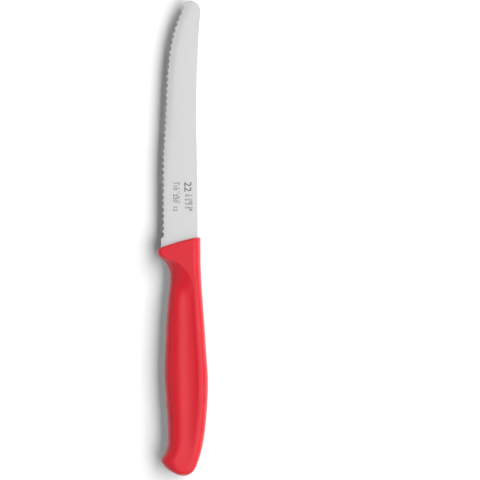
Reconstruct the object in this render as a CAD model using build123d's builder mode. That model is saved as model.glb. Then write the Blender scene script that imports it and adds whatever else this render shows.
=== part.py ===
from build123d import *
import math
import os

# A tomato knife that lies flat on its side: a serrated steel blade whose hidden tang is moulded
# into a plastic handle. Length runs along Y with the tip at +Y, the cutting edge faces -X, the
# back of the blade faces +X, and the handle's flat cheek rests on Z = 0. The origin is below the
# middle of the knife.

# Overall sizes
blade_length = 109.6
handle_length = 110.4
handle_span = 23.5
cheek_thickness = 12.0
swell_thickness = 11.9

# Blade
blade_width = 16.9
blank_thickness = 1.2
ground_thickness = 1.1
back_inset = 1.35
bevel_width = 3.6
bevel_drop = 0.27
ground_gap = 0.4

# Scallops along the edge, ground from the side that faces down
scallop_count = 38
scallop_pitch = 2.88
scallop_depth = 1.03
scallop_angle = 25.0
tooth_setback = 0.46
plain_heel_length = 4.55
wheel_length = 9.0

# Hidden shoulder and tang, with its lock holes at shares of the tang's length
shoulder_depth = 2.2
tang_width = 8.4
tang_length = 72.0
tang_side_shift = 1.6
tang_root_radius = 1.5
tang_end_radius = 2.8
lock_hole_diameter = 4.2
lock_hole_shares = (0.28, 0.57, 0.86)

# Handle front, a slanted arc seen from above
front_rise = 6.15
front_arc_radius = 82.0
front_rim_radius = 0.9

# Layer and crown that the flat cheeks lose, and how far a cutting body reaches past the work
cheek_trim = 0.04
cheek_crown_share = 0.12
overrun = 6.0

# Rise per run of the grip's flank where it meets the flat cheek
crease_rise_shares = (
    (-0.042, 0.0), (0.055, 0.0), (0.073, 0.21), (0.084, 0.47), (0.094, 0.49), (0.105, 0.38),
    (0.122, 0.31), (0.147, 0.25), (0.172, 0.16), (0.197, 0.07), (0.264, 0.0), (1.0, 0.0),
)

# Handle outline seen from above. The first number is the share of the handle's length behind its
# front, the second the share of its span from the middle, towards the back of the knife.
belly_shares = (
    (-0.042, -0.498), (0.03, -0.5), (0.055, -0.4985), (0.0734, -0.486), (0.0881, -0.425),
    (0.105, -0.337), (0.122, -0.285), (0.147, -0.249), (0.18, -0.244), (0.239, -0.275), (0.34, -0.315),
    (0.453, -0.342), (0.566, -0.357), (0.659, -0.337), (0.759, -0.303), (0.835, -0.291),
    (0.877, -0.301), (0.902, -0.337), (0.923, -0.4), (0.936, -0.421), (0.948, -0.395),
    (0.965, -0.33), (0.978, -0.26), (0.99, -0.155), (0.997, -0.085), (1.0, -0.04),
)
back_shares = (
    (-0.042, 0.35), (0.055, 0.352), (0.105, 0.354), (0.155, 0.362), (0.222, 0.38),
    (0.306, 0.408), (0.407, 0.443), (0.508, 0.474), (0.591, 0.499), (0.642, 0.499),
    (0.692, 0.487), (0.759, 0.464), (0.826, 0.431), (0.877, 0.388), (0.919, 0.337),
    (0.948, 0.291), (0.967, 0.256), (0.982, 0.205), (0.991, 0.154), (0.997, 0.102), (1.0, 0.061),
)

# The crease where the flank meets the flat cheek, and the start of the rounding along the back
crease_shares = (
    (-0.042, -0.413), (0.046, -0.413), (0.071, -0.4), (0.084, -0.339), (0.092, -0.25),
    (0.101, -0.142), (0.115, -0.031), (0.13, 0.047), (0.155, 0.126), (0.18, 0.181),
    (0.206, 0.219), (0.239, 0.238), (0.306, 0.264), (0.407, 0.297), (0.508, 0.329),
    (0.6, 0.346), (0.692, 0.335), (0.768, 0.307), (0.835, 0.27), (0.893, 0.22), (0.936, 0.177),
    (0.965, 0.142), (0.982, 0.114), (0.991, 0.087), (1.0, 0.025),
)
rounding_shares = (
    (-0.042, 0.213), (0.105, 0.213), (0.155, 0.225), (0.206, 0.272), (0.306, 0.315),
    (0.508, 0.38), (0.6, 0.396), (0.692, 0.386), (0.835, 0.323), (0.936, 0.225),
    (0.982, 0.15), (1.0, 0.041),
)

# Thickness of the grip as a share of the swell's, and fullness of the flank's and the back's arcs
thickness_shares = (
    (-0.042, 0.9), (0.168, 0.9), (0.243, 0.89), (0.39, 0.942), (0.6, 1.0), (0.768, 0.985),
    (0.873, 0.95), (0.927, 0.905), (0.961, 0.83), (0.982, 0.72), (0.992, 0.6), (1.0, 0.42),
)
fullness_shares = (
    (-0.042, 1.35), (0.06, 1.35), (0.1, 1.05), (0.16, 1.0), (0.85, 1.0), (0.94, 1.15),
    (1.0, 1.2),
)
back_fullness_share = 1.0

# Rise per run of the shallow dish that runs along the grip, where it meets the softened crease
dish_rise_shares = (
    (-0.042, 0.17), (0.72, 0.17), (0.8, 0.14), (0.86, 0.05), (0.92, -0.1), (1.0, -0.35),
)

# The low ridge between belly and dish: its place as a share of the width, its fall per run, the
# reach of the curves that lead to it and the share of the flank's curve that lies below it
ridge_share = 0.432
ridge_fall_share = 0.13
ridge_reach_share = 0.45
belly_reach_share = 0.85
flank_split_share = 0.65

# Where the dish ends short of the crease, and the fall per run at the start of the back's rounding
crease_softness_share = 0.14
rounding_fall_share = 0.35

# Where the flat cheek starts to turn into the oval grip, and where it has done so
cheek_end_share = 0.168
grip_start_share = 0.264

# Places of the handle's cross-sections, closer together round the guard and the butt
station_shares = (
    -0.042, -0.028, -0.014, 0.0, 0.014, 0.028, 0.042, 0.054, 0.064, 0.074, 0.084, 0.094, 0.104,
    0.115, 0.127, 0.141, 0.157, 0.175, 0.195, 0.218, 0.244, 0.274, 0.308, 0.346, 0.388, 0.432,
    0.476, 0.52, 0.564, 0.606, 0.646, 0.684, 0.72, 0.754, 0.785, 0.812, 0.835, 0.855, 0.872,
    0.887, 0.9, 0.912, 0.923, 0.933, 0.943, 0.953, 0.962, 0.971, 0.979, 0.986, 0.992, 0.997, 1.0,
)

# Blade outline. The first number is the share of the blade's length ahead of the handle's front,
# the second the share of its width from the edge's line at the heel.
edge_shares = ((0.275, 0.0), (0.474, 0.0535), (0.682, 0.119), (0.835, 0.2465), (0.936, 0.4476))
edge_end_share = (0.985, 0.59)
edge_end_direction = (0.43, 1)
tip_top_share = (1.0, 0.79)
tip_back_share = (0.957, 1.082)
back_line_shares = ((0.866, 1.033), (0.714, 0.989), (0.5365, 0.9645), (0.325, 0.986))

# Worked out from the sizes above
middle = cheek_thickness / 2
front_y = (handle_length - blade_length) / 2
back_x = back_shares[0][1] * handle_span - back_inset
heel_x = back_x - blade_width
ground_half = ground_thickness / 2
front_slope = front_rise / handle_span


def follow(line_shares, place):
    """Smooth line through the given points, read at one place along it."""
    count = len(line_shares)
    slopes = [
        (line_shares[i + 1][1] - line_shares[i][1]) / (line_shares[i + 1][0] - line_shares[i][0])
        for i in range(count - 1)
    ]
    steps = [line_shares[i + 1][0] - line_shares[i][0] for i in range(count - 1)]
    tangents = [slopes[0]]
    for i in range(1, count - 1):
        weight = steps[i - 1] + steps[i]
        tangents.append((steps[i] * slopes[i - 1] + steps[i - 1] * slopes[i]) / weight)
    tangents.append(slopes[-1])
    i = 0
    while i < count - 2 and place > line_shares[i + 1][0]:
        i += 1
    t = (place - line_shares[i][0]) / steps[i]
    start, end = line_shares[i][1], line_shares[i + 1][1]
    return (
        (1 + 2 * t) * (1 - t) ** 2 * start
        + t * (1 - t) ** 2 * steps[i] * tangents[i]
        + t**2 * (3 - 2 * t) * end
        + t**2 * (t - 1) * steps[i] * tangents[i + 1]
    )


def oval_arc(side_x, end_x, end_z, end_slope, fullness):
    """Control points of the oval arc that rises from the side and ends at a given slope."""
    width = end_x - side_x
    ratio = end_slope * width / end_z
    turn = math.acos(ratio / (1 - ratio))
    half_width = width / (1 - math.cos(turn))
    half_height = end_z / math.sin(turn)
    reach = fullness * math.tan(turn / 4) * 4 / 3
    handle_x = reach * half_width * math.sin(turn)
    return [
        (side_x, 0),
        (side_x, min(reach * half_height, end_z)),
        (end_x - handle_x, end_z - handle_x * end_slope),
        (end_x, end_z),
    ]


def split_curve(points, share):
    """The two curves that a curve makes when it is split at a share of its run."""
    rows = [points]
    while len(rows[-1]) > 1:
        pairs = zip(rows[-1], rows[-1][1:])
        rows.append([(x1 + (x2 - x1) * share, z1 + (z2 - z1) * share) for (x1, z1), (x2, z2) in pairs])
    return [[row[0] for row in rows], [row[-1] for row in rows[::-1]]]


def grip_flank(belly, ridge, crease, half, rise):
    """The grip's two curves, from its belly up to the ridge and on through the shallow dish."""
    dish = crease - crease_softness_share * (crease - ridge)
    climb = (rise - ridge_fall_share) / 2 * (dish - ridge)
    ridge_z = half - max(climb, 0) - max(rise, 0) * (crease - dish) / 2
    dish_z = ridge_z + climb
    reach = ridge_reach_share * (ridge - belly)
    reach_on = reach * (1 - flank_split_share) / flank_split_share
    third = (dish - ridge) / 3
    return [
        [
            (belly, 0),
            (belly, belly_reach_share * ridge_z),
            (ridge - reach, ridge_z + reach * ridge_fall_share),
            (ridge, ridge_z),
        ],
        [
            (ridge, ridge_z),
            (ridge + reach_on, ridge_z - reach_on * ridge_fall_share),
            (dish - third, dish_z - third * rise),
            (dish, dish_z),
        ],
    ]


def handle_section(share):
    """Curves of one cross-section of the handle, above the middle plane and below it."""
    belly = follow(belly_shares, share) * handle_span
    back = follow(back_shares, share) * handle_span
    crease = follow(crease_shares, share) * handle_span
    rounding = follow(rounding_shares, share) * handle_span
    half = follow(thickness_shares, share) * swell_thickness / 2
    fullness = follow(fullness_shares, share)
    crease_rise = follow(crease_rise_shares, share)
    rise = follow(dish_rise_shares, share)
    turn = (share - cheek_end_share) / (grip_start_share - cheek_end_share)
    turn = min(max(turn, 0), 1)
    grip = turn * turn * (3 - 2 * turn)
    ridge = belly + ridge_share * (back - belly)
    cheek_curves = split_curve(
        oval_arc(belly, crease, middle + cheek_trim, crease_rise, fullness), flank_split_share
    )
    grip_curves = grip_flank(belly, ridge, crease, half, rise)
    flank = [
        [
            (x1 + grip * (x2 - x1), z1 + grip * (z2 - z1))
            for (x1, z1), (x2, z2) in zip(cheek_curve, grip_curve)
        ]
        for cheek_curve, grip_curve in zip(cheek_curves, grip_curves)
    ]
    top_x, top_z = flank[1][-1]
    third = (rounding - top_x) / 3
    top_rise = grip * rise + (1 - grip) * cheek_crown_share
    top_fall = grip * rounding_fall_share + (1 - grip) * cheek_crown_share
    corner_z = top_z + (top_rise - top_fall) / 2 * (rounding - top_x)
    top = [
        (top_x, top_z),
        (top_x + third, top_z + third * top_rise),
        (rounding - third, corner_z + third * top_fall),
        (rounding, corner_z),
    ]
    corner = oval_arc(-back, -rounding, corner_z, top_fall, back_fullness_share)
    corner = [(-x, z) for x, z in corner[::-1]]
    upper = flank + [top, corner]
    lower = [[(x, -z) for x, z in curve[::-1]] for curve in upper[::-1]]
    return upper + lower


def front_at(x):
    """Place along the knife of the handle's front, at one place across it."""
    sag = (x**2 - back_x**2) / (2 * front_arc_radius)
    return front_y + front_slope * (x - back_x) - sag


def front_line(ahead):
    """Three points of the handle's front seen from above, moved ahead by a given distance."""
    half = handle_span / 2 + overrun
    return [(x, front_at(x) + ahead) for x in (-half, 0, half)]


def blade_point(share):
    """A point of the blade's outline from its shares of length and width."""
    return (heel_x + share[1] * blade_width, front_y + share[0] * blade_length)


heel_end_y = front_at(heel_x) - shoulder_depth
back_end_y = front_at(back_x) - shoulder_depth
tang_x = (heel_x + back_x) / 2 + tang_side_shift
tang_left = tang_x - tang_width / 2
tang_right = tang_x + tang_width / 2
tang_end_y = front_y - tang_length
scallop_rise = scallop_depth * math.sin(math.radians(scallop_angle))
wheel_radius = ((scallop_pitch / 2) ** 2 + scallop_rise**2) / (2 * scallop_rise)
heel_length = plain_heel_length + shoulder_depth
bevel_slope = bevel_drop / bevel_width
scallop_reach = tooth_setback + scallop_depth
scallop_top = middle + ground_half - bevel_slope * (bevel_width - scallop_reach)

# The cutting edge before the scallops are ground, from the shoulder to the tip
with BuildLine() as edge_line:
    heel_run = Line((heel_x, heel_end_y), blade_point(edge_shares[0]))
    edge_curve = Spline(
        heel_run @ 1,
        *[blade_point(share) for share in edge_shares[1:]],
        blade_point(edge_end_share),
        tangents=[(0, 1), edge_end_direction],
    )
    Line(edge_curve @ 1, (edge_curve @ 1) + (edge_curve % 1) * overrun)
edge_wire = edge_line.wire()

# Blade: blank with its tang, ground faces, bevels, lock holes and scallops
with BuildPart() as blade:
    with BuildSketch(Plane.XY.offset(middle - blank_thickness / 2)):
        with BuildLine():
            Line((heel_x, heel_end_y), blade_point(edge_shares[0]))
            add(edge_curve)
            TangentArc(
                blade_point(tip_top_share), blade_point(edge_end_share), tangent=(-1, 0)
            )
            TangentArc(blade_point(tip_top_share), blade_point(tip_back_share), tangent=(1, 0))
            Spline(
                blade_point(tip_back_share),
                *[blade_point(share) for share in back_line_shares],
                (back_x, front_y),
                (back_x, back_end_y),
            )
            Line((back_x, back_end_y), (heel_x, heel_end_y))
        make_face()
        with BuildLine():
            Polyline(
                (tang_left, front_y),
                (tang_left, tang_end_y),
                (tang_right, tang_end_y),
                (tang_right, front_y),
                close=True,
            )
        make_face()
    extrude(amount=blank_thickness)
    corners = blade.edges().filter_by(Axis.Z)
    tang_end = corners.group_by(Axis.Y)[0]
    fillet(tang_end, tang_end_radius)
    corners = blade.edges().filter_by(Axis.Z).filter_by_position(Axis.Y, heel_end_y, front_y)
    tang_root = corners.filter_by_position(
        Axis.X, tang_left - tang_root_radius, tang_right + tang_root_radius
    )
    fillet(tang_root, tang_root_radius)

    # Both faces are ground a little thinner ahead of the handle
    for side in (1, -1):
        with BuildSketch(Plane.XY.offset(middle + side * ground_half)):
            left, centre, right = front_line(ground_gap)
            with BuildLine():
                ThreePointArc(left, centre, right)
                Polyline(right, (right[0], blade_length), (left[0], blade_length), left)
            make_face()
        extrude(amount=side * overrun, mode=Mode.SUBTRACT)

    # Bevels along the edge on both faces
    for side in (1, -1):
        with BuildSketch(Plane((heel_x, heel_end_y, middle), (1, 0, 0), (0, -1, 0))):
            with BuildLine():
                Polyline(
                    (bevel_width, side * ground_half),
                    (-overrun, side * (ground_half - bevel_slope * (bevel_width + overrun))),
                    (-overrun, side * (ground_half + overrun)),
                    (bevel_width, side * (ground_half + overrun)),
                    close=True,
                )
            make_face()
        sweep(path=edge_wire, mode=Mode.SUBTRACT)

    # Lock holes that the plastic fills
    with BuildSketch(Plane.XY.offset(middle - blank_thickness / 2)):
        with Locations([(tang_x, front_y - share * tang_length) for share in lock_hole_shares]):
            Circle(lock_hole_diameter / 2)
    extrude(amount=blank_thickness, mode=Mode.SUBTRACT)

    # Scallops, ground one by one with a round wheel that leans on the lower face
    lean = math.radians(scallop_angle)
    for i in range(scallop_count):
        reach = heel_length + (i + 0.5) * scallop_pitch
        point = edge_wire.position_at(reach, position_mode=PositionMode.LENGTH)
        along = edge_wire.tangent_at(reach, position_mode=PositionMode.LENGTH)
        inward = Vector(along.Y, -along.X, 0)
        up = Vector(0, 0, 1)
        deepest = point + inward * scallop_reach + up * scallop_top
        centre = deepest - (inward * math.sin(lean) + up * math.cos(lean)) * wheel_radius
        axis = up * math.sin(lean) - inward * math.cos(lean)
        with Locations(Plane(centre, z_dir=axis)):
            Cylinder(wheel_radius, wheel_length, mode=Mode.SUBTRACT)

blade.part.label = "blade"

# Cross-sections of the handle, from the front to the butt. Each has the same eight curves, which
# meet smoothly.
sections = []
for share in station_shares:
    station = Plane((0, front_y - share * handle_length, middle), (1, 0, 0), (0, -1, 0))
    curves = [station * Bezier(*curve) for curve in handle_section(share)]
    sections.append(Face(Wire(curves)))

# Handle: one moulding round the blade's shoulders and tang
with BuildPart() as handle:
    loft(sections, clean=False)
    split(bisect_by=Plane.XY.offset(cheek_thickness), keep=Keep.BOTTOM)
    split(bisect_by=Plane.XY, keep=Keep.TOP)
    with BuildSketch(Plane.XY.offset(-overrun)):
        left, centre, right = front_line(0)
        with BuildLine():
            ThreePointArc(left, centre, right)
            Polyline(right, (right[0], blade_length), (left[0], blade_length), left)
        make_face()
    extrude(amount=cheek_thickness + 2 * overrun, mode=Mode.SUBTRACT)
    front_face = handle.faces().sort_by(Axis.Y)[-1]
    fillet(front_face.edges(), front_rim_radius)
    add(blade.part, mode=Mode.SUBTRACT)

handle.part.label = "handle"

os.makedirs("parts", exist_ok=True)
for piece in (blade.part, handle.part):
    export_step(piece, f"parts/{piece.label}.step")
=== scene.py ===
"""Looks for the serrated tomato knife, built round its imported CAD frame.

Lengths are in metres in the part's own frame: the tip points to +Y, the cutting edge to -X and
the knife lies on Z = 0.
"""

import math

import bmesh
import bpy
import numpy as np
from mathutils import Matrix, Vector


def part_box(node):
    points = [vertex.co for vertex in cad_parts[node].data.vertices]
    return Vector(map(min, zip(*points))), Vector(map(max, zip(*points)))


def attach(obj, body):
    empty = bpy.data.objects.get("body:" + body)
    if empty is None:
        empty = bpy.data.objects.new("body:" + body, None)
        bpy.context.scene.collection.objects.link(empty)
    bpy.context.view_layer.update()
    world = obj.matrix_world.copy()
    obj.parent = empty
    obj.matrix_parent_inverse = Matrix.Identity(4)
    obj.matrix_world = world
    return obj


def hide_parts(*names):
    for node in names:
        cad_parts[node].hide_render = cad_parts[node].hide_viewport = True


bl_info = {
    "name": "Tomato knife",
    "version": (1, 0, 0),
    "blender": (4, 5, 0),
    "location": "3D View > Sidebar > Tomato knife",
    "description": "Builds the ground blade and the moulded handle of a tomato knife",
    "category": "Object",
}

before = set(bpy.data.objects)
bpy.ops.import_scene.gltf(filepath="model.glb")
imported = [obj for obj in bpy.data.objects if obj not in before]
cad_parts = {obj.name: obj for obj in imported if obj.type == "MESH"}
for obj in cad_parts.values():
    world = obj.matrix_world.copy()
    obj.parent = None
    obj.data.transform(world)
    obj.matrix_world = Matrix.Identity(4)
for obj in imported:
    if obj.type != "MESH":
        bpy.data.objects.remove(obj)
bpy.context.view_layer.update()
blade_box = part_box("blade")
handle_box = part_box("handle")

BODY = "root"

# The knife's own sizes, read from the frame where it gives them
middle = handle_box[1].z / 2
handle_length = 0.1104
handle_span = 0.0235
front_y = handle_box[0].y + handle_length
blade_length = blade_box[1].y - front_y
swell_thickness = 0.0119
blade_width = 0.0169
back_inset = 0.00135

# Front of the handle seen from above
front_rise = 0.00615
front_arc_radius = 0.082

# Handle outline, crease, rounding and thickness along its length, as in the CAD solid
belly_shares = (
    (-0.042, -0.498), (0.03, -0.5), (0.055, -0.4985), (0.0734, -0.486), (0.0881, -0.425),
    (0.105, -0.337), (0.122, -0.285), (0.147, -0.249), (0.18, -0.244), (0.239, -0.275),
    (0.34, -0.315), (0.453, -0.342), (0.566, -0.357), (0.659, -0.337), (0.759, -0.303),
    (0.835, -0.291), (0.877, -0.301), (0.902, -0.337), (0.923, -0.4), (0.936, -0.421),
    (0.948, -0.395), (0.965, -0.33), (0.978, -0.26), (0.99, -0.155), (0.997, -0.085),
    (1.0, -0.04),
)
back_shares = (
    (-0.042, 0.35), (0.055, 0.352), (0.105, 0.354), (0.155, 0.362), (0.222, 0.38),
    (0.306, 0.408), (0.407, 0.443), (0.508, 0.474), (0.591, 0.499), (0.642, 0.499),
    (0.692, 0.487), (0.759, 0.464), (0.826, 0.431), (0.877, 0.388), (0.919, 0.337),
    (0.948, 0.291), (0.967, 0.256), (0.982, 0.205), (0.991, 0.154), (0.997, 0.102),
    (1.0, 0.061),
)
crease_shares = (
    (-0.042, -0.413), (0.046, -0.413), (0.071, -0.4), (0.084, -0.339), (0.092, -0.25),
    (0.101, -0.142), (0.115, -0.031), (0.13, 0.047), (0.155, 0.126), (0.18, 0.181),
    (0.206, 0.219), (0.239, 0.238), (0.306, 0.264), (0.407, 0.297), (0.508, 0.329),
    (0.6, 0.346), (0.692, 0.335), (0.768, 0.307), (0.835, 0.27), (0.893, 0.22),
    (0.936, 0.177), (0.965, 0.142), (0.982, 0.114), (0.991, 0.087), (1.0, 0.025),
)
rounding_shares = (
    (-0.042, 0.213), (0.105, 0.213), (0.155, 0.225), (0.206, 0.272), (0.306, 0.315),
    (0.508, 0.38), (0.6, 0.396), (0.692, 0.386), (0.835, 0.323), (0.936, 0.225),
    (0.982, 0.15), (1.0, 0.041),
)
crease_rise_shares = (
    (-0.042, 0.0), (0.055, 0.0), (0.073, 0.21), (0.084, 0.47), (0.094, 0.49), (0.105, 0.38),
    (0.122, 0.31), (0.147, 0.25), (0.172, 0.16), (0.197, 0.07), (0.264, 0.0), (1.0, 0.0),
)
thickness_shares = (
    (-0.042, 0.9), (0.168, 0.9), (0.243, 0.89), (0.39, 0.942), (0.6, 1.0), (0.768, 0.985),
    (0.873, 0.95), (0.927, 0.905), (0.961, 0.83), (0.982, 0.72), (0.992, 0.6), (1.0, 0.42),
)
fullness_shares = (
    (-0.042, 1.35), (0.06, 1.35), (0.1, 1.05), (0.16, 1.0), (0.85, 1.0), (0.94, 1.15),
    (1.0, 1.2),
)
dish_rise_shares = (
    (-0.042, 0.17), (0.72, 0.17), (0.8, 0.14), (0.86, 0.05), (0.92, -0.1), (1.0, -0.35),
)
ridge_share = 0.432
ridge_fall_share = 0.13
ridge_reach_share = 0.45
belly_reach_share = 0.85
flank_split_share = 0.65
crease_softness_share = 0.14
rounding_fall_share = 0.35
cheek_end_share = 0.168
grip_start_share = 0.264
station_shares = (
    -0.042, -0.028, -0.014, 0.0, 0.014, 0.028, 0.042, 0.054, 0.064, 0.074, 0.084, 0.094, 0.104,
    0.115, 0.127, 0.141, 0.157, 0.175, 0.195, 0.218, 0.244, 0.274, 0.308, 0.346, 0.388, 0.432,
    0.476, 0.52, 0.564, 0.606, 0.646, 0.684, 0.72, 0.754, 0.785, 0.812, 0.835, 0.855, 0.872,
    0.887, 0.9, 0.912, 0.923, 0.933, 0.943, 0.953, 0.962, 0.971, 0.979, 0.986, 0.992, 0.997, 1.0,
)

# Blade outline, as shares of its length ahead of the handle and of its width from the edge
edge_shares = ((0.275, 0.0), (0.474, 0.0535), (0.682, 0.119), (0.835, 0.2465), (0.936, 0.4476))
edge_end_share = (0.985, 0.59)
edge_end_direction = (0.43, 1.0)
tip_top_share = (1.0, 0.79)
tip_back_share = (0.957, 1.082)
back_line_shares = ((0.866, 1.033), (0.714, 0.989), (0.5365, 0.9645), (0.325, 0.986))

# The handle's mesh is drawn this much narrower, so that it stays inside the solid
skin_share = 0.998

# Scallops along the edge
scallop_count = 38
plain_heel_length = 0.00455
shoulder_depth = 0.0022
scallop_lean = math.radians(25.0)

# The bevel's width and slope at the heel, as shares of the full ones, and where it is full
bevel_heel_shares = (0.5, 0.45)
bevel_fade_length = 0.078

# Etched numbers: text, letter size, and where each line starts across and along the blade
mark_lines = (
    ("22", 0.0047, 0.0008, 0.0262),
    ("110  220  12", 0.0027, -0.0043, 0.0262),
    ("38  17  11  06  72", 0.0014, -0.0023, 0.0262),
    ("0 2 3 5", 0.0024, 0.0012, 0.0204),
    ("1 100 38", 0.0022, 0.0030, 0.0204),
)
mark_relief = 0.000006
mark_weight_share = 0.012

# How finely the lines and meshes are drawn: the least lengths kept, the steps along the edge's
# and the back's curve, and the reach over which a line's direction is taken
mesh_grain = 1e-7
line_grain = 1e-9
edge_step = 0.00004
back_step = 0.0008
direction_reach = 0.0003

# The blade's grid: its width past the bevel, points on each arc of the tip, rows to each scallop,
# and the rows that gather before the first scallop and after the last one
grid_margin = 0.0003
tip_arc_count = 60
rows_per_scallop = 14
heel_row_count = 14
heel_rows_end = 0.0009
heel_close_rows = (0.0007, 0.0005, 0.0003, 0.0002, 0.0001)
tip_close_rows = (0.0, 0.0001, 0.0002, 0.0003, 0.00045, 0.0006, 0.00075)
tip_row_gap = 0.00002
tip_break_start = 0.0008

# The handle's mesh: points on the four curves of a half section, rings over its front, its rim
# and its first slanted stretch, then stretches of its length with their numbers of rings
curve_counts = (16, 14, 20, 18)
front_ring_shares = (0.12, 0.4, 0.7, 0.93)
rim_ring_count = 7
slanted_ring_count = 30
slanted_end_share = 0.125
ring_stretches = (
    (0.125, 0.3, 32), (0.3, 0.85, 60), (0.85, 0.96, 34), (0.96, 0.986, 14), (0.986, 0.996, 12),
    (0.996, 0.9995, 12), (0.9995, 1.0, 4),
)
slot_floor_gap = 0.0003
rim_start_guess = 0.02
rim_search_count = 12

# Where the butt starts to close, across and in thickness, how far it closes, and its last ring
closing_starts = (0.9965, 0.986)
closing_depth = 0.93
last_ring_share = 0.9

# Sockets of the colour mix node
COLOR_A, COLOR_B, COLOR_RESULT = 6, 7, 2

# Lamps: name, the setting with its brightness, the two angles from straight up that it spans
# (positive to the right), whether it shows in gloss or lights matt surfaces, and its turn
lamps = (
    ("key_softbox", "key", 21, 57, False, 0),
    ("fill_softbox", "fill", -88, -66, False, 0),
    ("top_softbox", "top", -16, -3, True, 0),
    ("ridge_strip", "ridge_strip", 4, 12, True, 0),
    ("right_card", "right_card", 24, 74, True, 0),
    ("left_card", "left_card", -62, -28, True, 0),
    ("tip_end_card", "end_cards", 42, 86, True, 90),
    ("butt_end_card", "end_cards", 42, 86, True, -90),
)
lamp_reach = 1.2
lamp_length = 2.0
floor_half_width = 3.0

# Worked out from the sizes above
back_x = back_shares[0][1] * handle_span - back_inset
heel_x = back_x - blade_width
front_slope = front_rise / handle_span


def front_at(x):
    """Place along the knife of the handle's front, at one place across it."""
    sag = (x**2 - back_x**2) / (2 * front_arc_radius)
    return front_y + front_slope * (x - back_x) - sag


def blade_point(share):
    """A point of the blade's outline from its shares of length and width."""
    return np.array((heel_x + share[1] * blade_width, front_y + share[0] * blade_length))


def follow(line_shares, place):
    """Smooth line through the given points, read at one place along it."""
    count = len(line_shares)
    steps = [line_shares[i + 1][0] - line_shares[i][0] for i in range(count - 1)]
    slopes = [(line_shares[i + 1][1] - line_shares[i][1]) / steps[i] for i in range(count - 1)]
    tangents = [slopes[0]]
    for i in range(1, count - 1):
        weight = steps[i - 1] + steps[i]
        tangents.append((steps[i] * slopes[i - 1] + steps[i - 1] * slopes[i]) / weight)
    tangents.append(slopes[-1])
    i = 0
    while i < count - 2 and place > line_shares[i + 1][0]:
        i += 1
    t = (place - line_shares[i][0]) / steps[i]
    start, end = line_shares[i][1], line_shares[i + 1][1]
    return (
        (1 + 2 * t) * (1 - t) ** 2 * start
        + t * (1 - t) ** 2 * steps[i] * tangents[i]
        + t**2 * (3 - 2 * t) * end
        + t**2 * (t - 1) * steps[i] * tangents[i + 1]
    )


def spline_bends(places, values, first=None, last=None):
    """Second derivatives of the cubic spline through rows of values. The ends are free, or have
    the slopes given."""
    count = len(places)
    gaps = np.diff(places)
    matrix = np.zeros((count, count))
    right = np.zeros_like(values)
    matrix[0, 0] = matrix[-1, -1] = 1.0
    if first is not None:
        matrix[0, :2] = gaps[0] / 3, gaps[0] / 6
        right[0] = (values[1] - values[0]) / gaps[0] - first
    if last is not None:
        matrix[-1, -2:] = gaps[-1] / 6, gaps[-1] / 3
        right[-1] = last - (values[-1] - values[-2]) / gaps[-1]
    for i in range(1, count - 1):
        matrix[i, i - 1 : i + 2] = gaps[i - 1] / 6, (gaps[i - 1] + gaps[i]) / 3, gaps[i] / 6
        right[i] = (values[i + 1] - values[i]) / gaps[i] - (values[i] - values[i - 1]) / gaps[i - 1]
    return np.linalg.solve(matrix, right)


def spline_at(places, values, bends, where):
    """Value of the spline at each place in where, row by row. Columns are read one by one."""
    i = np.clip(np.searchsorted(places, where) - 1, 0, len(places) - 2)
    column = np.arange(values.shape[1])
    gap = places[i + 1] - places[i]
    b = (where - places[i]) / gap
    a = 1 - b
    return (
        a * values[i, column]
        + b * values[i + 1, column]
        + ((a**3 - a) * bends[i, column] + (b**3 - b) * bends[i + 1, column]) * gap**2 / 6
    )


def smooth_curve(points, first=None, last=None, step=edge_step):
    """Fine points on the smooth curve through the given ones."""
    points = np.array(points, float)
    places = np.concatenate(([0.0], np.cumsum(np.linalg.norm(np.diff(points, axis=0), axis=1))))
    unit = [None if d is None else np.array(d) / np.linalg.norm(d) for d in (first, last)]
    bends = spline_bends(places, points, *unit)
    count = max(int(places[-1] / step), 2)
    return np.array(
        [spline_at(places, points, bends, np.full(2, s)) for s in np.linspace(0, places[-1], count)]
    )


def arc_through_top(top, end):
    """Centre and radius of the arc that is level at its top and passes a second point."""
    across, down = end[0] - top[0], top[1] - end[1]
    radius = (across**2 + down**2) / (2 * down)
    return np.array((top[0], top[1] - radius)), radius


def arc_points(centre, radius, start, end, count):
    """Points of the arc from start to end, clockwise seen from above."""
    a0 = math.atan2(start[1] - centre[1], start[0] - centre[0])
    a1 = math.atan2(end[1] - centre[1], end[0] - centre[0])
    return [
        centre + radius * np.array((math.cos(a), math.sin(a))) for a in np.linspace(a0, a1, count)
    ]


class Path:
    """A fine line of points, read by the distance along it. It goes on straight at its end."""

    def __init__(self, points):
        keep = [points[0]]
        for p in points[1:]:
            if np.linalg.norm(p - keep[-1]) > line_grain:
                keep.append(p)
        self.points = np.array(keep)
        lengths = np.linalg.norm(np.diff(self.points, axis=0), axis=1)
        self.places = np.concatenate(([0.0], np.cumsum(lengths)))
        self.length = self.places[-1]
        run_out = self.points[-1] - self.points[-3]
        self.last = run_out / np.linalg.norm(run_out)

    def at(self, s):
        """Point and direction at one distance."""
        if s >= self.length:
            return self.points[-1] + self.last * (s - self.length), self.last
        point = np.array([np.interp(s, self.places, self.points[:, k]) for k in (0, 1)])
        a = max(s - direction_reach, 0.0)
        b = min(s + direction_reach, self.length)
        ahead = np.array([np.interp(b, self.places, self.points[:, k]) for k in (0, 1)])
        behind = np.array([np.interp(a, self.places, self.points[:, k]) for k in (0, 1)])
        return point, (ahead - behind) / np.linalg.norm(ahead - behind)


def cleaned(bm):
    """The mesh with points that coincide joined and empty edges taken out."""
    bmesh.ops.remove_doubles(bm, verts=bm.verts[:], dist=2 * mesh_grain)
    bmesh.ops.dissolve_degenerate(bm, edges=bm.edges[:], dist=mesh_grain)
    return bm


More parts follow.
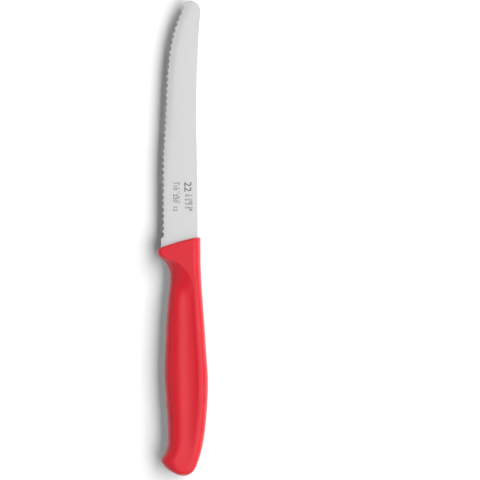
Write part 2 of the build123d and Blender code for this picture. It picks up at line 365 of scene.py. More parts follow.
def piece_from(name, bm, materials, sharp_angle):
    """A finished piece from its mesh: smoothed between sharp edges and set on the frame."""
    bmesh.ops.recalc_face_normals(bm, faces=bm.faces[:])
    mesh = bpy.data.meshes.new(name)
    bm.to_mesh(mesh)
    bm.free()
    for material in materials:
        mesh.materials.append(material)
    mesh.shade_smooth()
    mesh.set_sharp_from_angle(angle=sharp_angle)
    piece = bpy.data.objects.new(name, mesh)
    bpy.context.scene.collection.objects.link(piece)
    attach(piece, BODY)
    return piece


def new_material(name):
    """An empty node material with its shader, and the tree to build on."""
    material = bpy.data.materials.new(name)
    material.use_nodes = True
    tree = material.node_tree
    tree.nodes.clear()
    output = tree.nodes.new("ShaderNodeOutputMaterial")
    shader = tree.nodes.new("ShaderNodeBsdfPrincipled")
    tree.links.new(shader.outputs["BSDF"], output.inputs["Surface"])
    return material, tree, shader


def add_node(tree, kind, inputs=None, **settings):
    """A node with its settings and its inputs, each a value or another node's output."""
    made = tree.nodes.new(kind)
    for key, value in settings.items():
        setattr(made, key, value)
    for key, value in (inputs or {}).items():
        if isinstance(value, bpy.types.NodeSocket):
            tree.links.new(value, made.inputs[key])
        else:
            made.inputs[key].default_value = value
    return made


def math_node(tree, operation, a, b=0.0, clamp=False):
    """Output of a sum, product or other step on two values."""
    return add_node(
        tree, "ShaderNodeMath", {0: a, 1: b}, operation=operation, use_clamp=clamp
    ).outputs[0]


def stretched_noise(tree, size, detail=3.0, rough=0.55):
    """Noise whose grain has its own length along each axis, in metres."""
    place = add_node(tree, "ShaderNodeTexCoord").outputs["Object"]
    scale = tuple(1 / s for s in size)
    moved = add_node(tree, "ShaderNodeMapping", {"Vector": place, "Scale": scale}).outputs[0]
    return add_node(
        tree,
        "ShaderNodeTexNoise",
        {"Vector": moved, "Scale": 1.0, "Detail": detail, "Roughness": rough},
    ).outputs["Fac"]


def spread(tree, value, low, high):
    """The noise's middle range stretched between two values."""
    return add_node(
        tree,
        "ShaderNodeMapRange",
        {"Value": value, "From Min": 0.3, "From Max": 0.7, "To Min": low, "To Max": high},
    ).outputs["Result"]


def shaded(color, factor):
    """A colour made lighter or darker."""
    return tuple(min(c * factor, 1.0) for c in color[:3]) + (1.0,)


def mixed_color(tree, factor, dark, light):
    """Colour between two, by a factor."""
    return add_node(
        tree,
        "ShaderNodeMix",
        {"Factor": factor, COLOR_A: dark, COLOR_B: light},
        data_type="RGBA",
    ).outputs[COLOR_RESULT]


def ground_steel(name, color, roughness, grain, bump, waves):
    """Ground stainless steel: fine lines of the wheel, faint bands and uneven gloss."""
    dark_share, light_share = 0.975, 1.015
    line_gloss, smear_gloss = 0.02, 0.01
    relief_height = 0.00002
    material, tree, shader = new_material(name)
    lines = stretched_noise(tree, grain, detail=4.0, rough=0.6)
    bands = stretched_noise(tree, waves, detail=2.0, rough=0.5)
    smears = stretched_noise(tree, (0.006, 0.009, 0.006), detail=3.0, rough=0.6)
    tone = math_node(tree, "ADD", spread(tree, lines, 0.0, 0.5), spread(tree, bands, 0.0, 0.5))
    shader.inputs["Metallic"].default_value = 1.0
    tree.links.new(
        mixed_color(tree, tone, shaded(color, dark_share), shaded(color, light_share)),
        shader.inputs["Base Color"],
    )
    gloss = math_node(
        tree,
        "ADD",
        spread(tree, lines, roughness - line_gloss, roughness + line_gloss),
        spread(tree, smears, -smear_gloss, smear_gloss),
    )
    tree.links.new(gloss, shader.inputs["Roughness"])
    height = add_node(
        tree,
        "ShaderNodeBump",
        {"Strength": bump, "Distance": relief_height, "Height": lines},
    )
    tree.links.new(height.outputs["Normal"], shader.inputs["Normal"])
    return material


def moulded_plastic(name, color, roughness, grain_size):
    """Satin polypropylene: spark-eroded mould grain, faint flow and rub marks, a parting line."""
    dark_share, light_share = 0.95, 1.04
    grain_gloss = 0.025
    least_rub, most_rub = -0.02, 0.025
    parting_half_width = 0.00009
    grain_part, parting_part = 0.22, 1.2
    relief_height = 0.00003
    material, tree, shader = new_material(name)
    grain = stretched_noise(tree, (grain_size,) * 3, detail=3.0, rough=0.6)
    flow = stretched_noise(tree, (0.005, 0.022, 0.005), detail=2.0, rough=0.5)
    rubs = stretched_noise(tree, (0.0004, 0.0036, 0.0011), detail=4.0, rough=0.65)
    tone = math_node(tree, "ADD", spread(tree, flow, 0.0, 0.7), spread(tree, grain, 0.0, 0.3))
    tree.links.new(
        mixed_color(tree, tone, shaded(color, dark_share), shaded(color, light_share)),
        shader.inputs["Base Color"],
    )
    gloss = math_node(
        tree,
        "ADD",
        spread(tree, grain, roughness - grain_gloss, roughness + grain_gloss),
        spread(tree, rubs, least_rub, most_rub),
    )
    tree.links.new(gloss, shader.inputs["Roughness"])
    place = add_node(tree, "ShaderNodeTexCoord").outputs["Object"]
    level = add_node(tree, "ShaderNodeSeparateXYZ", {0: place}).outputs["Z"]
    off = math_node(tree, "ABSOLUTE", math_node(tree, "SUBTRACT", level, middle))
    line = math_node(
        tree, "SUBTRACT", 1.0, math_node(tree, "DIVIDE", off, parting_half_width), clamp=True
    )
    relief = math_node(
        tree,
        "ADD",
        math_node(tree, "MULTIPLY", grain, grain_part),
        math_node(tree, "MULTIPLY", line, parting_part),
    )
    height = add_node(
        tree,
        "ShaderNodeBump",
        {"Strength": 0.35, "Distance": relief_height, "Height": relief},
    )
    tree.links.new(height.outputs["Normal"], shader.inputs["Normal"])
    shader.inputs["IOR"].default_value = 1.49
    shader.inputs["Specular IOR Level"].default_value = 0.5
    return material


def etched(name, color):
    """Laser-darkened steel, a little uneven."""
    material, tree, shader = new_material(name)
    specks = stretched_noise(tree, (0.00012,) * 3, detail=3.0, rough=0.6)
    tree.links.new(
        mixed_color(tree, specks, shaded(color, 0.8), shaded(color, 1.2)),
        shader.inputs["Base Color"],
    )
    shader.inputs["Metallic"].default_value = 0.6
    tree.links.new(spread(tree, specks, 0.45, 0.6), shader.inputs["Roughness"])
    return material


def floor_paper(name, color, seen):
    """Matt white paper. The camera and mirrored rays see it brighter than matt surfaces do."""
    material = bpy.data.materials.new(name)
    material.use_nodes = True
    tree = material.node_tree
    tree.nodes.clear()
    output = tree.nodes.new("ShaderNodeOutputMaterial")
    path = add_node(tree, "ShaderNodeLightPath")
    straight = math_node(
        tree,
        "MAXIMUM",
        path.outputs["Is Camera Ray"],
        math_node(
            tree, "MAXIMUM", path.outputs["Is Glossy Ray"], path.outputs["Is Transmission Ray"]
        ),
    )
    fibres = stretched_noise(tree, (0.0012,) * 3, detail=2.0, rough=0.5)
    plain = mixed_color(tree, fibres, shaded(color, 0.985), shaded(color, 1.0))
    bright = mixed_color(tree, straight, plain, (seen, seen, seen, 1.0))
    diffuse = add_node(tree, "ShaderNodeBsdfDiffuse", {"Color": bright})
    tree.links.new(diffuse.outputs["BSDF"], output.inputs["Surface"])
    return material


def length_setting(name, description, default):
    """A length that the panel shows."""
    return bpy.props.FloatProperty(
        name=name, description=description, default=default, unit="LENGTH", precision=5, min=0.0
    )


def color_setting(name, description, default):
    """A colour that the panel shows."""
    return bpy.props.FloatVectorProperty(
        name=name,
        description=description,
        default=default,
        subtype="COLOR",
        size=3,
        min=0.0,
        max=1.0,
    )


def amount_setting(name, description, default):
    """A plain number that the panel shows."""
    return bpy.props.FloatProperty(name=name, description=description, default=default, min=0.0)


class TomatoKnifeBladeSettings(bpy.types.PropertyGroup):
    thickness: length_setting("Thickness", "Between the blade's two ground faces", 0.0011)
    bevel_width: length_setting("Bevel width", "Ground band along the cutting edge", 0.0039)
    bevel_drop: length_setting("Bevel drop", "Metal the bevel takes off at the edge", 0.00025)
    bevel_blend: length_setting("Bevel blend", "Half width of the bevel's soft border", 0.0008)
    scallop_pitch: length_setting("Scallop pitch", "From tooth to tooth", 0.00288)
    scallop_depth: length_setting("Scallop depth", "From the teeth to the hollows", 0.00103)
    tooth_setback: length_setting("Tooth setback", "From the heel's line to the teeth", 0.00046)
    edge_break: length_setting("Edge break", "Small bevel along the back", 0.00014)
    steel: color_setting("Steel", "Colour of the ground faces", (0.668, 0.668, 0.673))
    roughness: amount_setting("Roughness", "Of the ground faces", 0.33)
    mark: color_setting("Mark", "Colour of the etched size mark", (0.16, 0.16, 0.165))


class TomatoKnifeHandleSettings(bpy.types.PropertyGroup):
    rim_radius: length_setting("Rim radius", "Rounding of the handle's front edge", 0.0009)
    slot_gap: length_setting("Slot gap", "Between the plastic and the blade", 0.00004)
    plastic: color_setting("Plastic", "Colour of the moulded handle", (0.635, 0.005, 0.018))
    roughness: amount_setting("Roughness", "Of the moulded surface", 0.31)
    grain: length_setting("Mould grain", "Size of the surface's fine grain", 0.00022)


class TomatoKnifeStageSettings(bpy.types.PropertyGroup):
    picture_width: length_setting("Picture width", "Shown at the blade's height", 0.2223)
    aim_x: bpy.props.FloatProperty(
        name="Aim across", description="Middle of the picture, across", default=0.02654,
        unit="LENGTH", precision=5,
    )
    aim_y: bpy.props.FloatProperty(
        name="Aim along", description="Middle of the picture, along", default=-0.00079,
        unit="LENGTH", precision=5,
    )
    camera_height: length_setting("Camera height", "Above the floor", 1.6)
    floor: color_setting("Floor", "Colour of the paper", (0.82, 0.82, 0.82))
    floor_seen: amount_setting("Floor as seen", "Brightness of the paper to the camera", 0.99)
    key: amount_setting("Key", "Brightness of the matt key light on the right", 5.4)
    fill: amount_setting("Fill", "Brightness of the matt fill light low on the left", 2.75)
    top: amount_setting("Top", "Brightness of the softbox mirrored from overhead", 1.15)
    ridge_strip: amount_setting("Ridge strip", "Brightness of the strip along the ridge", 3.4)
    right_card: amount_setting("Right card", "Brightness of the card mirrored on the right", 1.2)
    left_card: amount_setting("Left card", "Brightness of the card mirrored on the left", 0.62)
    end_cards: amount_setting("End cards", "Brightness of the cards mirrored at both ends", 0.6)
    ambient: amount_setting("Surroundings", "Strength of the even light around", 0.03)


def blade_edge():
    """The line of the edge before the scallops, from inside the handle to the tip's arc."""
    heel = np.array((heel_x, front_at(heel_x) - shoulder_depth))
    knots = [blade_point(share) for share in (*edge_shares, edge_end_share)]
    curve = smooth_curve(knots, first=(0.0, 1.0), last=edge_end_direction)
    return Path([heel, *curve])


def blade_back():
    """The line of the back, from the tip's arc to inside the handle."""
    knots = [blade_point(tip_back_share)]
    knots += [blade_point(share) for share in back_line_shares]
    knots += [np.array((back_x, front_y)), np.array((back_x, front_at(back_x) - shoulder_depth))]
    return smooth_curve(knots, step=back_step)


class EdgeProfile:
    """Outline and faces of the scalloped edge, by distance along it and inward from it."""

    def __init__(self, settings):
        self.half = settings.thickness / 2
        self.full_width = settings.bevel_width
        self.full_slope = settings.bevel_drop / settings.bevel_width
        self.blend = settings.bevel_blend
        self.pitch = settings.scallop_pitch
        self.reach = settings.tooth_setback + settings.scallop_depth
        rise = settings.scallop_depth * math.sin(scallop_lean)
        self.wheel = ((self.pitch / 2) ** 2 + rise**2) / (2 * rise)
        self.first = plain_heel_length + shoulder_depth
        self.tan = math.tan(scallop_lean)

    def bevel(self, s):
        """Width and slope of the bevel, which fades towards the heel."""
        t = min(max(s / bevel_fade_length, 0.0), 1.0)
        t = t * t * (3 - 2 * t)
        heel_width, heel_slope = bevel_heel_shares
        width = self.full_width * (heel_width + (1 - heel_width) * t)
        return width, self.full_slope * (heel_slope + (1 - heel_slope) * t)

    def face(self, s, v):
        """Height of the face over the blade's middle, at a distance inward."""
        width, slope = self.bevel(s)
        gap = width - v
        if gap >= self.blend:
            return self.half - slope * gap
        if gap <= -self.blend:
            return self.half
        return self.half - slope * (gap + self.blend) ** 2 / (4 * self.blend)

    def high(self, s):
        """Height of the upper face where the hollows reach deepest."""
        width, slope = self.bevel(s)
        return self.half - slope * (width - self.reach)

    def sag(self, s):
        """How far the nearest wheel falls away from its deepest line, or None between wheels."""
        i = min(max(int((s - self.first) // self.pitch), 0), scallop_count - 1)
        u = s - self.first - (i + 0.5) * self.pitch
        if abs(u) >= self.wheel:
            return None
        return self.wheel - math.sqrt(self.wheel**2 - u**2)

    def outline(self, s):
        """How far inward the scallops reach on the upper face."""
        sag = self.sag(s)
        return 0.0 if sag is None else max(0.0, self.reach - sag / math.sin(scallop_lean))

    def hollow(self, s, v):
        """Height of the hollow over the blade's middle."""
        return self.high(s) + self.tan * (self.reach - v) - self.sag(s) / math.cos(scallop_lean)

    def hollow_end(self, s):
        """How far inward the hollow runs out on the lower face."""
        sag = self.sag(s)
        if sag is None:
            return 0.0
        width, slope = self.bevel(s)
        top = self.high(s) + self.tan * self.reach - sag / math.cos(scallop_lean)
        low = self.half - slope * width
        return max(0.0, (top + low) / (self.tan - slope))


def build_blade(settings):
    """The blade's mesh: a grid along the scalloped edge, two flat faces and the rim round them."""
    profile = EdgeProfile(settings)
    edge = blade_edge()
    band = profile.full_width + profile.blend + grid_margin

    # The tip's arcs, first as distances along and inward from the edge's line run on straight
    top = blade_point(tip_top_share)
    end = edge.points[-1]
    centre, radius = arc_through_top(top, end)
    arc = arc_points(centre, radius, end, top, tip_arc_count)
    back_end = blade_point(tip_back_share)
    centre, radius = arc_through_top(top, back_end)
    arc += arc_points(centre, radius, top, back_end, tip_arc_count)[1:]
    direction = edge.last
    inward = np.array((direction[1], -direction[0]))
    offsets = [((p - end) @ direction, (p - end) @ inward) for p in arc]
    split = next(i for i, (_, v) in enumerate(offsets) if v >= band)
    a, b = offsets[split - 1], offsets[split]
    part = (band - a[1]) / (b[1] - a[1])
    crossing = (a[0] + part * (b[0] - a[0]), band)
    tip = [(edge.length + u, v) for u, v in offsets[1:split]]
    tip.append((edge.length + crossing[0], band))

    # Places along the edge: each tooth's point is one of them
    last = profile.first + scallop_count * profile.pitch
    first = profile.first
    rows = [(s, 0.0) for s in np.linspace(0.0, first - heel_rows_end, heel_row_count)]
    rows += [(s, 0.0) for s in first - np.array(heel_close_rows)]
    for i in range(scallop_count):
        start = first + i * profile.pitch
        for k in range(rows_per_scallop):
            rows.append((start + k * profile.pitch / rows_per_scallop, 0.0))
    tip_s = [s for s, _ in tip]
    tip_v = [v for _, v in tip]
    for s in last + np.array(tip_close_rows):
        rows.append((s, float(np.interp(s, tip_s, tip_v, left=0.0))))
    rows += [(s, v) for s, v in tip if s > rows[-1][0] + tip_row_gap]

    bm = bmesh.new()
    grid = []
    upper_count, lower_count = 4, 5
    for s, arc_v in rows:
        point, along = edge.at(s)
        inward = np.array((along[1], -along[0]))
        out = max(profile.outline(s), arc_v)
        hollow_end = max(profile.hollow_end(s), out)
        width = profile.bevel(s)[0]
        blend_lines = [width + k * profile.blend / 2 for k in range(-2, 3)] + [band]
        near = max(blend_lines[0], out)
        upper = [out + (near - out) * k / upper_count for k in range(upper_count)] + blend_lines
        upper = [(max(v, out), profile.face(s, max(v, out))) for v in upper]
        lower = []
        for k in range(lower_count):
            v = out + (hollow_end - out) * k / lower_count
            z = -profile.face(s, v)
            lower.append((v, max(profile.hollow(s, v), z) if hollow_end > out else z))
        rest = [hollow_end + (blend_lines[1] - hollow_end) * k / 2 for k in range(2)]
        rest = [max(v, out) for v in rest + blend_lines[1:]]
        lower += [(v, -profile.face(s, v)) for v in rest]
        lower = [(v, min(z, profile.face(s, v))) for v, z in lower]
        ring = upper[::-1] + lower
        verts = []
        for v, z in ring:
            x, y = point + inward * v
            verts.append(bm.verts.new((x, y, middle + z)))
        grid.append(verts)
    hollow_faces = []
    seam = len(upper)
    for row, after in zip(grid, grid[1:]):
        for j in range(len(row) - 1):
            face = bm.faces.new((row[j], row[j + 1], after[j + 1], after[j]))
            if seam <= j < seam + lower_count:
                hollow_faces.append(face)
    for face in hollow_faces:
        face.material_index = 1

    # Flat faces, and the wall round the rest of the tip, the back and the hidden end
    outline = arc[split:] + [np.array(p) for p in blade_back()[1:]]
    walls = [[], []]
    for p in outline:
        for side, level in enumerate((profile.half, -profile.half)):
            walls[side].append(bm.verts.new((p[0], p[1], middle + level)))
    for side, column in enumerate((0, -1)):
        loop = [row[column] for row in grid] + walls[side]
        bm.faces.new(loop if side else loop[::-1])
    upper_line = [grid[-1][0]] + walls[0]
    lower_line = [grid[-1][-1]] + walls[1]
    rim_edges = []
    for k in range(len(upper_line) - 1):
        face = bm.faces.new((upper_line[k], upper_line[k + 1], lower_line[k + 1], lower_line[k]))
        rim_edges += [e for e in face.edges if abs(e.verts[0].co.z - e.verts[1].co.z) < mesh_grain]
    end_ring = grid[0] + [walls[1][-1], walls[0][-1]]
    bm.faces.new(end_ring)

    # The rim edges of the tip's grid belong to the same small bevel
    seam_pairs = [(row[seam - 1], row[seam]) for row in grid]
    start = next(i for i, (s, _) in enumerate(rows) if s > last + tip_break_start)
    for pairs in zip(seam_pairs[start:], seam_pairs[start + 1 :]):
        for side in (0, 1):
            found = bm.edges.get((pairs[0][side], pairs[1][side]))
            if found is not None:
                rim_edges.append(found)
    bmesh.ops.bevel(
        bm,
        geom=list(dict.fromkeys(rim_edges)),
        offset=settings.edge_break,
        offset_type="OFFSET",
        segments=2,
        profile=0.5,
        affect="EDGES",
        clamp_overlap=True,
    )
    return cleaned(bm)


def build_mark(settings):
    """Plain numbers, etched so that they read along the blade from the tip."""
    lift = middle + settings.thickness / 2
    bm = bmesh.new()
    for body, size, x, y in mark_lines:
        text = bpy.data.curves.new("size_mark_text", "FONT")
        text.body = body
        text.size = size
        text.offset = size * mark_weight_share
        text.resolution_u = 3
        holder = bpy.data.objects.new("size_mark_text", text)
        mesh = bpy.data.meshes.new_from_object(holder)
        bpy.data.objects.remove(holder)
        bpy.data.curves.remove(text)
        for vertex in mesh.vertices:
            along, across = vertex.co.x, vertex.co.y
            vertex.co = (x + across, y - along, lift)
        bm.from_mesh(mesh)
        bpy.data.meshes.remove(mesh)
    made = bmesh.ops.extrude_face_region(bm, geom=bm.faces[:])
    for vertex in [g for g in made["geom"] if isinstance(g, bmesh.types.BMVert)]:
        vertex.co.z += mark_relief
    return bm


def oval_arc(side_x, end_x, end_z, end_slope, fullness):
    """Control points of the oval arc that rises from the side and ends at a given slope."""
    width = end_x - side_x
    ratio = end_slope * width / end_z
    turn = math.acos(ratio / (1 - ratio))
    half_width = width / (1 - math.cos(turn))
    half_height = end_z / math.sin(turn)
    reach = fullness * math.tan(turn / 4) * 4 / 3
    handle_x = reach * half_width * math.sin(turn)
    return [
        (side_x, 0.0),
        (side_x, min(reach * half_height, end_z)),
        (end_x - handle_x, end_z - handle_x * end_slope),
        (end_x, end_z),
    ]


def split_curve(points, share):
    """The two curves that a curve makes when it is split at a share of its run."""
    rows = [points]
    while len(rows[-1]) > 1:
        rows.append(
            [
                (x1 + (x2 - x1) * share, z1 + (z2 - z1) * share)
                for (x1, z1), (x2, z2) in zip(rows[-1], rows[-1][1:])
            ]
        )
    return [[row[0] for row in rows], [row[-1] for row in rows[::-1]]]


def grip_flank(belly, ridge, crease, half, rise):
    """The grip's two curves, from its belly up to the ridge and on through the shallow dish."""
    dish = crease - crease_softness_share * (crease - ridge)
    climb = (rise - ridge_fall_share) / 2 * (dish - ridge)
    ridge_z = half - max(climb, 0) - max(rise, 0) * (crease - dish) / 2
    dish_z = ridge_z + climb
    reach = ridge_reach_share * (ridge - belly)
    reach_on = reach * (1 - flank_split_share) / flank_split_share
    third = (dish - ridge) / 3
    return [
        [
            (belly, 0.0),
            (belly, belly_reach_share * ridge_z),
            (ridge - reach, ridge_z + reach * ridge_fall_share),
            (ridge, ridge_z),
        ],
        [
            (ridge, ridge_z),
            (ridge + reach_on, ridge_z - reach_on * ridge_fall_share),
            (dish - third, dish_z - third * rise),
            (dish, dish_z),
        ],
    ]


def handle_curves(share):
    """Curves of one cross-section's upper half, from the belly to the back, as control points."""
    belly = follow(belly_shares, share) * handle_span
    back = follow(back_shares, share) * handle_span
    crease = follow(crease_shares, share) * handle_span
    rounding = follow(rounding_shares, share) * handle_span
    half = follow(thickness_shares, share) * swell_thickness / 2
    rise = follow(dish_rise_shares, share)
    turn = min(max((share - cheek_end_share) / (grip_start_share - cheek_end_share), 0), 1)
    grip = turn * turn * (3 - 2 * turn)
    ridge = belly + ridge_share * (back - belly)
    cheek_curves = split_curve(
        oval_arc(
            belly, crease, middle, follow(crease_rise_shares, share), follow(fullness_shares, share)
        ),
        flank_split_share,
    )
    grip_curves = grip_flank(belly, ridge, crease, half, rise)
    flank = [
        [
            (x1 + grip * (x2 - x1), z1 + grip * (z2 - z1))
            for (x1, z1), (x2, z2) in zip(cheek_curve, grip_curve)
        ]
        for cheek_curve, grip_curve in zip(cheek_curves, grip_curves)
    ]
    top_x, top_z = flank[1][-1]
    third = (rounding - top_x) / 3
    top_rise, top_fall = grip * rise, grip * rounding_fall_share
    corner_z = top_z + (top_rise - top_fall) / 2 * (rounding - top_x)
    top = [
        (top_x, top_z),
        (top_x + third, top_z + third * top_rise),
        (rounding - third, corner_z + third * top_fall),
        (rounding, corner_z),
    ]
    corner = [(-x, z) for x, z in oval_arc(-back, -rounding, corner_z, top_fall, 1.0)[::-1]]
    return flank + [top, corner]


def even_ends(count, both=True):
    """Places from 0 towards 1, closer together at the ends. The last is left to the next curve."""
    if both:
        return [(1 - math.cos(math.pi * k / count)) / 2 for k in range(count)]
    return [math.sin(math.pi / 2 * k / count) for k in range(count)]


class HandleSurface:
    """The handle's skin. Each line of it runs from the front to the butt at one place round."""

    def __init__(self):
        self.shares = np.array(station_shares)
        belly_count, ridge_count, top_count, corner_count = curve_counts
        belly_t = [k / belly_count for k in range(belly_count)]
        ridge_t = even_ends(ridge_count, both=False)
        top_t = even_ends(top_count)
        corner_t = [1 - t for t in even_ends(corner_count, both=False)][::-1]
        corner_t = [0.0] + corner_t[:-1]
        rows = []
        for share in station_shares:
            line = []
            for curve, places in zip(handle_curves(share), (belly_t, ridge_t, top_t, corner_t)):
                for t in places:
                    w = ((1 - t) ** 3, 3 * t * (1 - t) ** 2, 3 * t * t * (1 - t), t**3)
                    line.append(
                        (
                            sum(a * p[0] for a, p in zip(w, curve)),
                            sum(a * p[1] for a, p in zip(w, curve)),
                        )
                    )
            line.append((follow(back_shares, share) * handle_span, 0.0))
            rows.append(line)
        data = np.array(rows)
        self.upper = data.shape[1]
        lower = data[:, -2:0:-1].copy()
        lower[:, :, 1] *= -1
        data = np.concatenate((data, lower), axis=1)
        self.count = data.shape[1]
        self.x, self.z = data[:, :, 0], data[:, :, 1]
        self.bend_x = spline_bends(self.shares, self.x)
        self.bend_z = spline_bends(self.shares, self.z)

    def at(self, shares):
        """Points round the handle, each at its own share of the length."""
        x = spline_at(self.shares, self.x, self.bend_x, shares)
        z = spline_at(self.shares, self.z, self.bend_z, shares)
        heart = (x.min() + x.max()) / 2
        x = heart + (x - heart) * skin_share * self.closing(shares, closing_starts[0])
        z = z * self.closing(shares, closing_starts[1])
        return x, front_y - shares * handle_length, np.clip(z, -middle, middle)

    @staticmethod
    def closing(shares, start):
        """Factor that rounds the butt off, from 1 at the start to a small rest at the very end."""
        part = np.clip((shares - start) / (1.0 - start), 0.0, 1.0)
        return np.sqrt(1.0 - closing_depth * part**2)

    def start(self, rim):
        """Share at which each line meets the front's rim, and the outward direction there."""
        shares = np.full(self.count, rim_start_guess)
        for _ in range(rim_search_count):
            x, _, z = self.at(shares)
            shares = (front_y - np.array([front_at(v) for v in x]) + rim) / handle_length
        x, _, z = self.at(shares)
        run_x = np.roll(x, -1) - np.roll(x, 1)
        run_z = np.roll(z, -1) - np.roll(z, 1)
        size = np.hypot(run_x, run_z)
        return shares, -run_z / size, run_x / size


def build_handle(settings, blade_half):
    """The handle's mesh: its skin, the rounded front rim, the front with the blade's slot."""
    surface = HandleSurface()
    rim = settings.rim_radius
    start, normal_x, normal_z = surface.start(rim)
    bm = bmesh.new()

    def ring(x, y, z):
        return [bm.verts.new((a, b, middle + c)) for a, b, c in zip(x, y, z)]

    def join(first, second):
        count = len(first)
        for j in range(count):
            k = (j + 1) % count
            bm.faces.new((first[j], first[k], second[k], second[j]))

    # Slot for the blade, from its bottom to the handle's front
    gap = settings.slot_gap
    left, right = heel_x - gap, back_x + gap
    half = blade_half + gap
    x0, _, z0 = surface.at(start)
    slot_x = np.clip(x0, left, right)
    slot_z = np.clip(z0, -half, half)
    slot_y = np.array([front_at(v) for v in slot_x])
    slot_floor = slot_y - shoulder_depth - slot_floor_gap
    rings = [ring(slot_x, slot_floor, slot_z), ring(slot_x, slot_y, slot_z)]
    last = surface.upper - 1
    for j in range(last):
        k = surface.count - j
        quad = (rings[0][j], rings[0][j + 1], rings[0][k - 1], rings[0][k % surface.count])
        bm.faces.new([v for i, v in enumerate(quad) if v not in quad[:i]])

    # Front face, then the rounded rim
    inset_x, inset_z = x0 - normal_x * rim, z0 - normal_z * rim
    for part in front_ring_shares:
        x = slot_x + (inset_x - slot_x) * part
        z = slot_z + (inset_z - slot_z) * part
        rings.append(ring(x, [front_at(v) for v in x], z))
    for k in range(rim_ring_count + 1):
        angle = math.pi / 2 * (1 - k / rim_ring_count)
        back = rim * (1 - math.cos(angle))
        x, z = x0 - normal_x * back, z0 - normal_z * back
        y = np.array([front_at(v) for v in x]) - rim * (1 - math.sin(angle))
        rings.append(ring(x, y, z))

    # Skin, first from the slanted front to one even station, then along the grip
    for k in range(1, slanted_ring_count + 1):
        part = k / slanted_ring_count
        rings.append(ring(*surface.at(start + (slanted_end_share - start) * part)))
    for a, b, count in ring_stretches:
        for k in range(1, count + 1):
            shares = np.full(surface.count, a + (b - a) * k / count)
            rings.append(ring(*surface.at(shares)))
    x, y, z = surface.at(np.full(surface.count, 1.0))
    rings.append(ring(x.mean() + (x - x.mean()) * last_ring_share, y, z * last_ring_share))
    for first, second in zip(rings, rings[1:]):
        join(first, second)
    bm.faces.new(rings[-1])
    return cleaned(bm)


class TOMATOKNIFE_OT_blade(bpy.types.Operator):
    """Build the ground blade with its scallops and its etched size mark"""

    bl_idname = "tomato_knife.blade"
    bl_label = "Build blade"

    def execute(self, context):
        settings = context.scene.tomato_knife_blade
        steel = ground_steel(
            "ground_steel", settings.steel, settings.roughness,
            grain=(0.009, 0.00009, 0.009), bump=0.12, waves=(0.03, 0.0011, 0.03),
        )
        fresh = ground_steel(
            "scallop_steel", shaded(settings.steel, 0.98), settings.roughness - 0.07,
            grain=(0.00007, 0.0011, 0.00007), bump=0.14, waves=(0.0011, 0.0028, 0.0011),
        )
        blade = piece_from(
            "ground_blade", build_blade(settings), (steel, fresh),
            sharp_angle=math.radians(16),
        )
        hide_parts("blade")
        piece_from(
            "size_mark", build_mark(settings),
            (etched("etched_steel", settings.mark),), sharp_angle=math.radians(30),
        )
        return {"FINISHED"}


class TOMATOKNIFE_OT_handle(bpy.types.Operator):
    """Build the moulded handle with its rounded front and the blade's slot"""

    bl_idname = "tomato_knife.handle"
    bl_label = "Build handle"

    def execute(self, context):
        settings = context.scene.tomato_knife_handle
        blade_half = context.scene.tomato_knife_blade.thickness / 2
        plastic = moulded_plastic(
            "moulded_plastic", settings.plastic, settings.roughness, settings.grain
        )
        handle = piece_from(
            "moulded_handle", build_handle(settings, blade_half), (plastic,),
            sharp_angle=math.radians(35),
        )
        # The paper beside the knife stays neutral: the plastic throws no red on it
        handle.visible_diffuse = False
        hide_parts("handle")
        return {"FINISHED"}


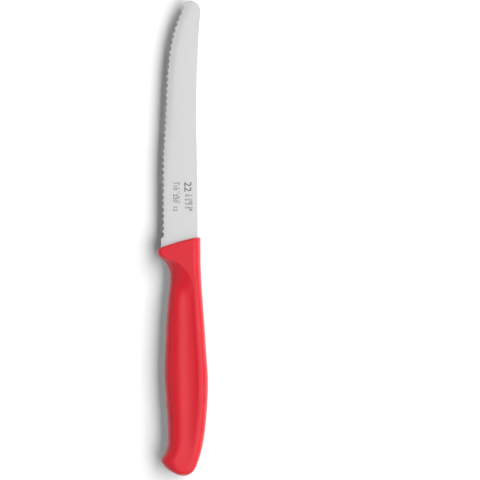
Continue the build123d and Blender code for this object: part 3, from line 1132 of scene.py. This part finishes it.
class TOMATOKNIFE_OT_stage(bpy.types.Operator):
    """Set up the floor, the lamps, the surroundings and the camera"""

    bl_idname = "tomato_knife.stage"
    bl_label = "Set up stage"

    def execute(self, context):
        settings = context.scene.tomato_knife_stage
        scene = context.scene
        scene.view_settings.view_transform = "Standard"

        bm = bmesh.new()
        bmesh.ops.create_grid(bm, x_segments=4, y_segments=4, size=floor_half_width)
        mesh = bpy.data.meshes.new("paper_floor")
        bm.to_mesh(mesh)
        bm.free()
        mesh.materials.append(floor_paper("white_paper", settings.floor, settings.floor_seen))
        floor = bpy.data.objects.new("paper_floor", mesh)
        scene.collection.objects.link(floor)

        for name, key, start, end, mirrored, turn_degrees in lamps:
            half = math.radians(end - start) / 2
            tilt = math.radians(start + end) / 2
            turn = math.radians(turn_degrees)
            lamp = bpy.data.lights.new(name, "AREA")
            lamp.shape = "RECTANGLE"
            lamp.size, lamp.size_y = 2 * lamp_reach * math.tan(half), lamp_length
            lamp.energy = getattr(settings, key) * math.pi * lamp.size * lamp.size_y
            holder = bpy.data.objects.new(name, lamp)
            side, height = lamp_reach * math.sin(tilt), lamp_reach * math.cos(tilt)
            holder.location = (side * math.cos(turn), side * math.sin(turn), height)
            holder.rotation_euler = (0.0, tilt, turn)
            holder.visible_camera = False
            holder.visible_glossy = mirrored
            holder.visible_diffuse = not mirrored
            scene.collection.objects.link(holder)

        world = bpy.data.worlds.new("even_surroundings")
        world.use_nodes = True
        sky = world.node_tree.nodes["Background"]
        sky.inputs["Color"].default_value = (1.0, 1.0, 1.0, 1.0)
        sky.inputs["Strength"].default_value = settings.ambient
        scene.world = world

        camera = bpy.data.cameras.new("camera")
        camera.sensor_width = 36.0
        distance = settings.camera_height - middle
        camera.lens = camera.sensor_width * distance / settings.picture_width
        camera.clip_start, camera.clip_end = 0.05, 20.0
        holder = bpy.data.objects.new("camera", camera)
        holder.location = (settings.aim_x, settings.aim_y, settings.camera_height)
        scene.collection.objects.link(holder)
        scene.camera = holder
        return {"FINISHED"}


class TOMATOKNIFE_PT_panel(bpy.types.Panel):
    """Sizes and colours of the tomato knife, and the steps that build it"""

    bl_label = "Tomato knife"
    bl_idname = "TOMATOKNIFE_PT_panel"
    bl_space_type = "VIEW_3D"
    bl_region_type = "UI"
    bl_category = "Tomato knife"

    def draw(self, context):
        for step in STEPS:
            box = self.layout.box()
            group = getattr(context.scene, step[1])
            for key in group.__class__.__annotations__:
                box.prop(group, key)
            box.operator(step[0].bl_idname)


STEPS = (
    (TOMATOKNIFE_OT_blade, "tomato_knife_blade", TomatoKnifeBladeSettings),
    (TOMATOKNIFE_OT_handle, "tomato_knife_handle", TomatoKnifeHandleSettings),
    (TOMATOKNIFE_OT_stage, "tomato_knife_stage", TomatoKnifeStageSettings),
)


def register():
    for operator, name, group in STEPS:
        bpy.utils.register_class(group)
        bpy.utils.register_class(operator)
        setattr(bpy.types.Scene, name, bpy.props.PointerProperty(type=group))
    bpy.utils.register_class(TOMATOKNIFE_PT_panel)


def unregister():
    bpy.utils.unregister_class(TOMATOKNIFE_PT_panel)
    for operator, name, group in reversed(STEPS):
        delattr(bpy.types.Scene, name)
        bpy.utils.unregister_class(operator)
        bpy.utils.unregister_class(group)


def main():
    """Build every piece and the stage."""
    register()
    bpy.ops.tomato_knife.blade()
    bpy.ops.tomato_knife.handle()
    bpy.ops.tomato_knife.stage()


if __name__ == "__main__":
    main()
